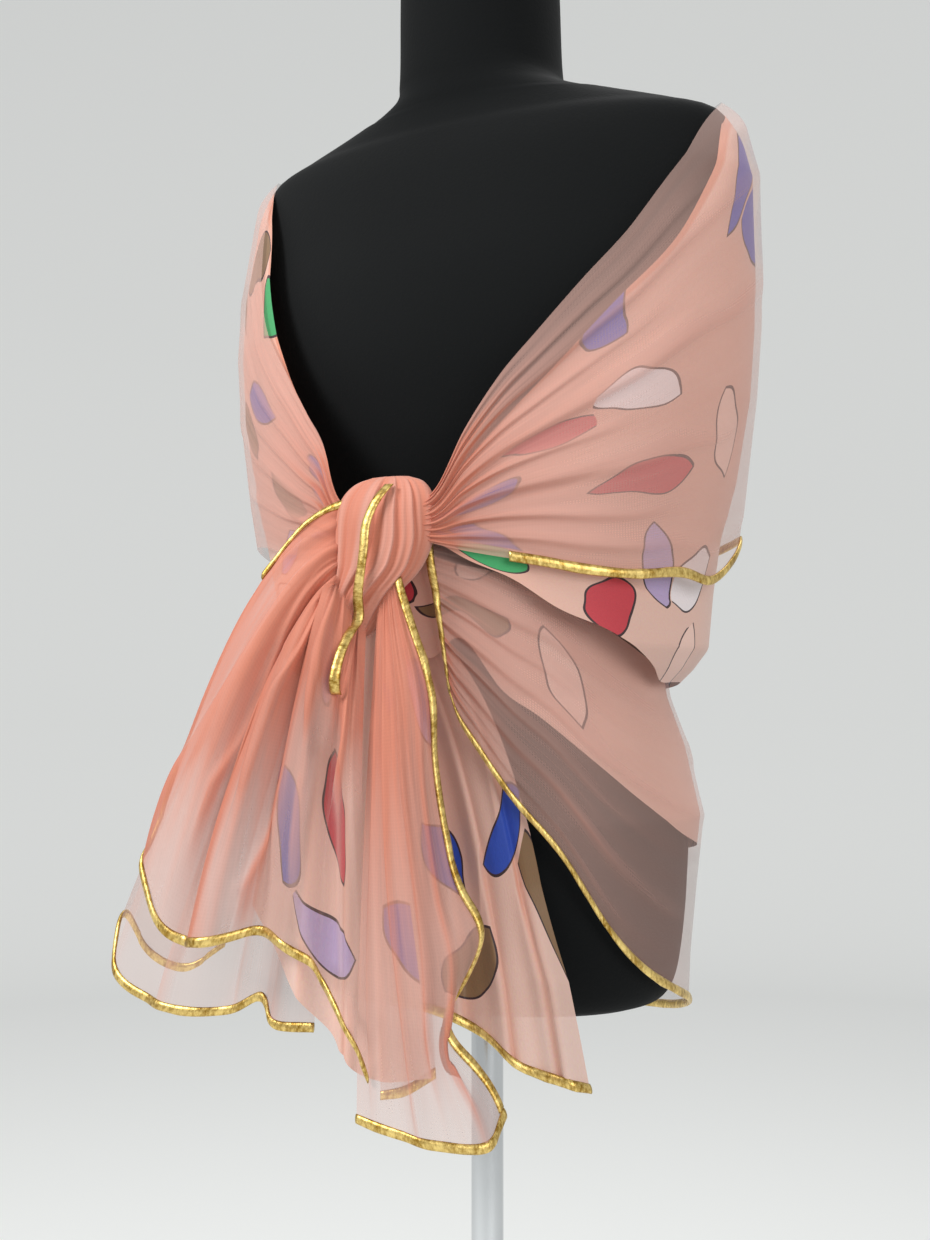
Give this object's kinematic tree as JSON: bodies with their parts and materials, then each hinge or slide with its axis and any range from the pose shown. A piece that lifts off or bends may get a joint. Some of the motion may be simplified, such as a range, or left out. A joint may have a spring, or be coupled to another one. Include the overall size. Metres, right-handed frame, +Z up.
{
  "type": "sheer scarf on a dress form",
  "caption": "Sheer pink two-ply scarf with gold edges, worn as a shawl round a limbless black dress form and knotted in front.",
  "frame": {"origin": "on the pole's axis, under the base plate", "axes": "+Z up the pole, -Y towards the form's front, where the knot is, +X towards the form's left side"},
  "size_m": [0.4344, 0.3903, 1.5768],
  "materials": {
    "pink_tulle": "sheer soft pink tulle",
    "printed_chiffon": null,
    "gold_ribbon": "metallic gold edging ribbon",
    "black_jersey": "matt black stretch cover",
    "chrome_steel": "polished"
  },
  "bodies": {
    "root": {"form_torso": "black_jersey", "pole": "chrome_steel", "base_plate": "chrome_steel", "knot_band": "pink_tulle", "knot_ribbon": "gold_ribbon", "near_wrap_tulle": "pink_tulle", "back_wrap_tulle": "pink_tulle", "far_wrap_tulle": "pink_tulle", "near_wrap_print": "printed_chiffon", "back_wrap_print": "printed_chiffon", "far_wrap_print": "printed_chiffon", "near_hip_tulle": "pink_tulle", "back_hip_tulle": "pink_tulle", "far_hip_tulle": "pink_tulle", "near_hip_print": "printed_chiffon", "back_hip_print": "printed_chiffon", "far_hip_print": "printed_chiffon", "left_tail_front_tulle": "pink_tulle", "left_tail_rear_tulle": "pink_tulle", "left_tail_print": "printed_chiffon", "centre_tail_tulle": "pink_tulle", "centre_tail_rear_tulle": "pink_tulle", "right_tail_print": "printed_chiffon", "near_wrap_ribbon": "gold_ribbon", "back_wrap_ribbon": "gold_ribbon", "near_hip_front_ribbon": "gold_ribbon", "near_hip_ribbon": "gold_ribbon", "back_hip_ribbon": "gold_ribbon", "left_tail_top_ribbon": "gold_ribbon", "left_tail_front_ribbon": "gold_ribbon", "left_tail_rear_ribbon": "gold_ribbon", "centre_tail_side_ribbon": "gold_ribbon", "centre_tail_ribbon": "gold_ribbon", "centre_tail_rear_ribbon": "gold_ribbon", "right_tail_ribbon": "gold_ribbon"}
  },
  "joints": []
}
